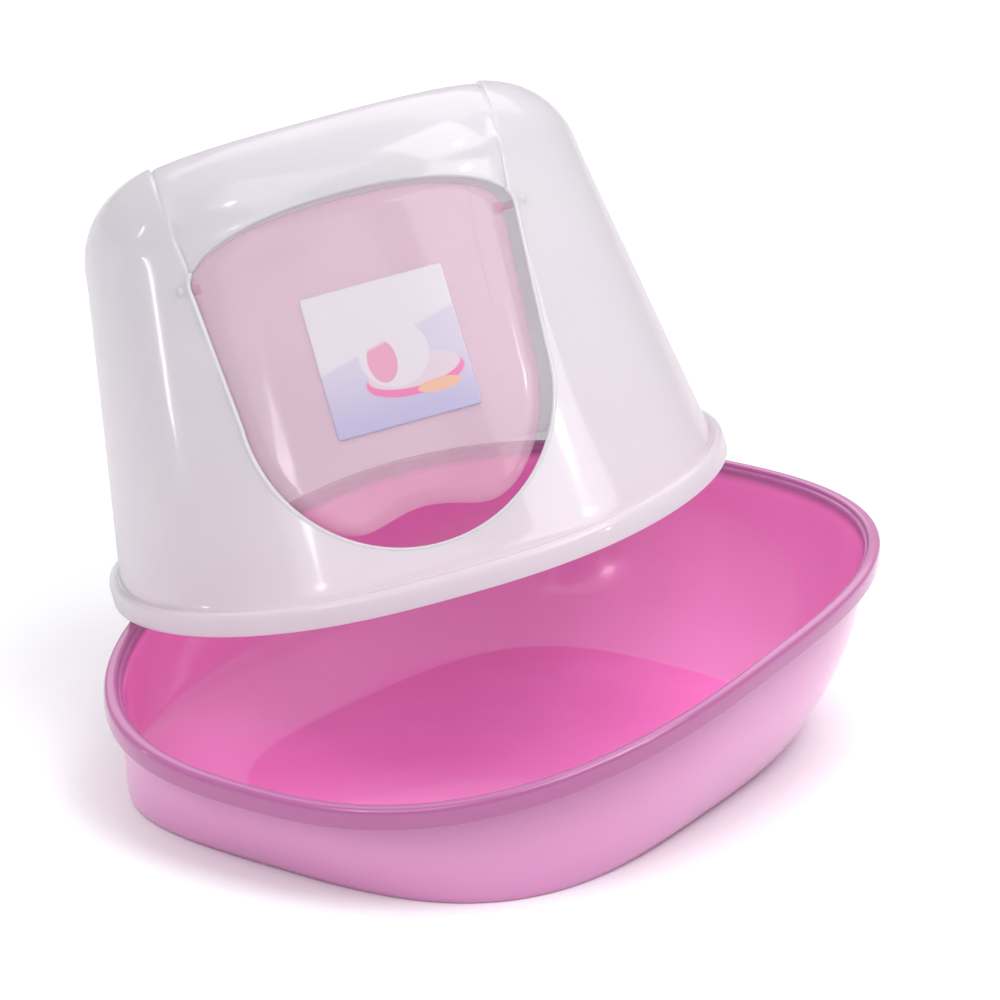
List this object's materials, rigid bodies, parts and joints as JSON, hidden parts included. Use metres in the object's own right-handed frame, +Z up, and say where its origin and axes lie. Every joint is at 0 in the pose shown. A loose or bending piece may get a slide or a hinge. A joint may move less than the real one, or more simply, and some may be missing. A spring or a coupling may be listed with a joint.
{
  "type": "cat litter box with hood",
  "caption": "Oval litter tray with a rolled rim, low at the front, and a domed hood lifted off and laid across it, with a swinging see-through door flap.",
  "frame": {"origin": "on the floor under the middle of the tray's rim", "axes": "+Z up, low front of the tray towards -Y, +X to the right of the tray seen from behind it"},
  "size_m": [0.5145, 0.4949, 0.3457],
  "materials": {
    "tray_plastic": "glossy pink moulded plastic",
    "hood_plastic": "glossy white moulded plastic",
    "flap_plastic": "glossy translucent plastic",
    "label_card": "smooth printed card"
  },
  "bodies": {
    "tray": {"tray": "tray_plastic"},
    "hood": {"hood_shell": "hood_plastic", "pivot_socket_left": "hood_plastic", "pivot_socket_right": "hood_plastic"},
    "flap": {"door_flap": "flap_plastic", "pivot_pin_left": "flap_plastic", "pivot_pin_right": "flap_plastic", "card_label": "label_card"}
  },
  "joints": [
    {"name": "hood_lift", "type": "slide", "parent": "tray", "child": "hood", "axis": [0, 0, 1], "range_m": [0, 0.25]},
    {"name": "flap_swing", "type": "hinge", "parent": "hood", "child": "flap", "pos_m": [-0.0829, -0.01889, 0.27281], "axis": [0.6977, 0.6773, 0.2334], "range_deg": [-40, 65]}
  ]
}
